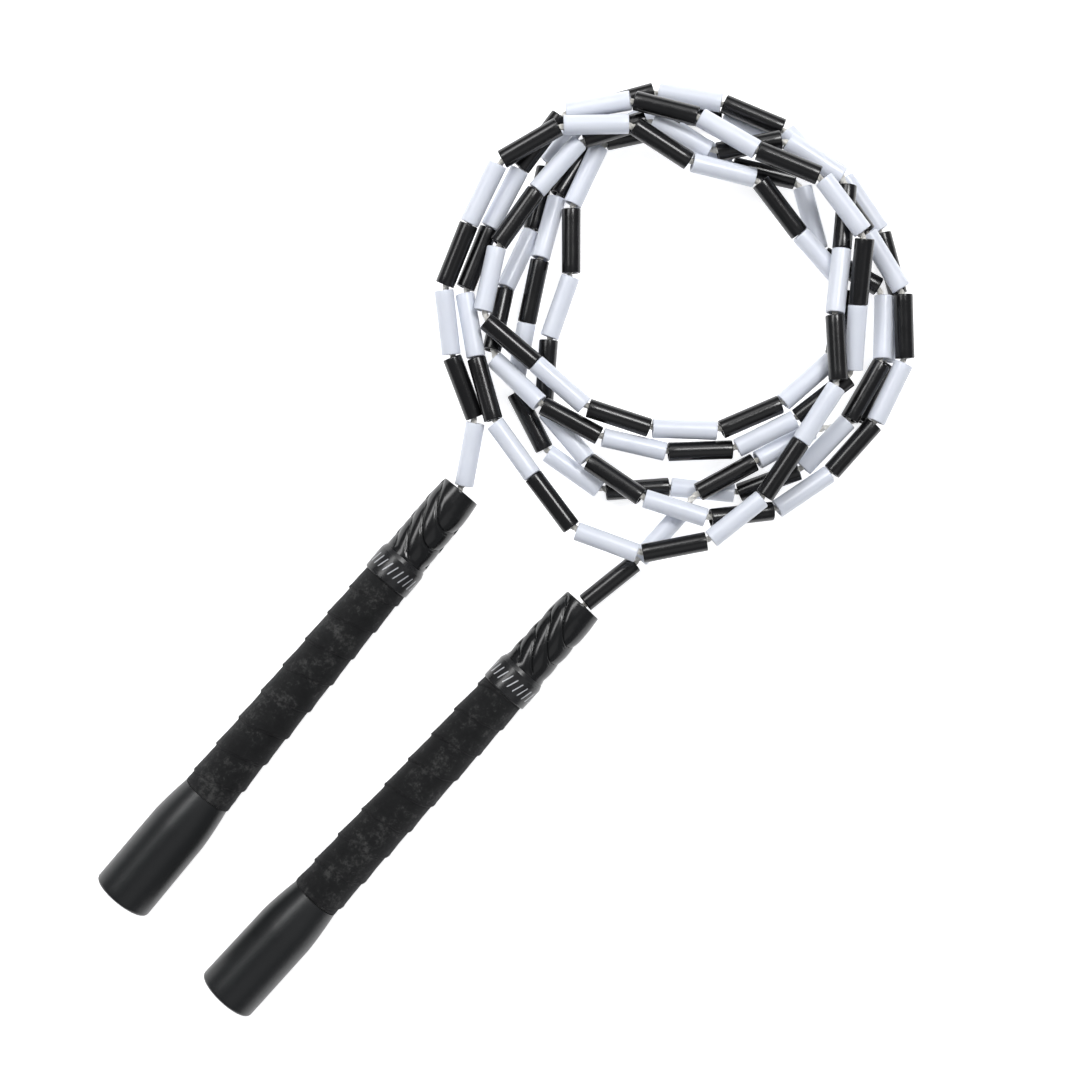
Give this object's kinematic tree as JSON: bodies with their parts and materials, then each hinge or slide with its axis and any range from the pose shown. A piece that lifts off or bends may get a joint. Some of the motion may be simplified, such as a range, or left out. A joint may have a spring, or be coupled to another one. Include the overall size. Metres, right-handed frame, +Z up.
{
  "type": "beaded jump rope",
  "caption": "Beaded skipping rope: two long black taped handles with fluted necks, joined by a thin cord strung with black and white tube beads and laid in loose loops.",
  "frame": {"origin": "on the floor, under the middle of the two handles' bounding box (the rope itself is not counted)", "axes": "+Z up from the floor; +Y along the handles, from their butts towards their tips; +X from the left handle to the right handle"},
  "size_m": [0.186, 0.4123, 0.0345],
  "materials": {
    "handle_plastic": "satin moulded plastic",
    "ring_plastic": "semi-gloss",
    "overgrip_tape": "soft suede-like tape",
    "cap_rubber": "matte",
    "washer_steel": "plain",
    "cord_nylon": "twisted off-white cord",
    "bead_white": "soft gloss",
    "bead_black": "gloss"
  },
  "bodies": {
    "rope": {"cord": "cord_nylon", "stop_knot_left": "cord_nylon", "stop_knot_right": "cord_nylon", "washer_left": "washer_steel", "washer_right": "washer_steel", "beads_first_pass_white": "bead_white", "beads_first_pass_black": "bead_black", "beads_second_pass_white": "bead_white", "beads_second_pass_black": "bead_black", "beads_third_pass_white": "bead_white", "beads_third_pass_black": "bead_black", "beads_fourth_pass_white": "bead_white", "beads_fourth_pass_black": "bead_black", "beads_fifth_pass_white": "bead_white", "beads_fifth_pass_black": "bead_black", "beads_sixth_pass_white": "bead_white", "beads_sixth_pass_black": "bead_black"},
    "handle_left": {"handle_left_body": "handle_plastic", "handle_left_ring": "ring_plastic", "handle_left_overgrip": "overgrip_tape", "handle_left_end_cap": "cap_rubber"},
    "handle_right": {"handle_right_body": "handle_plastic", "handle_right_ring": "ring_plastic", "handle_right_overgrip": "overgrip_tape", "handle_right_end_cap": "cap_rubber"}
  },
  "joints": [
    {"name": "left_handle_spin", "type": "hinge", "parent": "rope", "child": "handle_left", "pos_m": [-0.03318, 0.10615, 0.00985], "axis": [0.0224, -0.9997, 0.0128], "continuous": true},
    {"name": "right_handle_spin", "type": "hinge", "parent": "rope", "child": "handle_right", "pos_m": [0.03318, 0.10386, 0.00985], "axis": [-0.0224, -0.9997, 0.0128], "continuous": true}
  ]
}
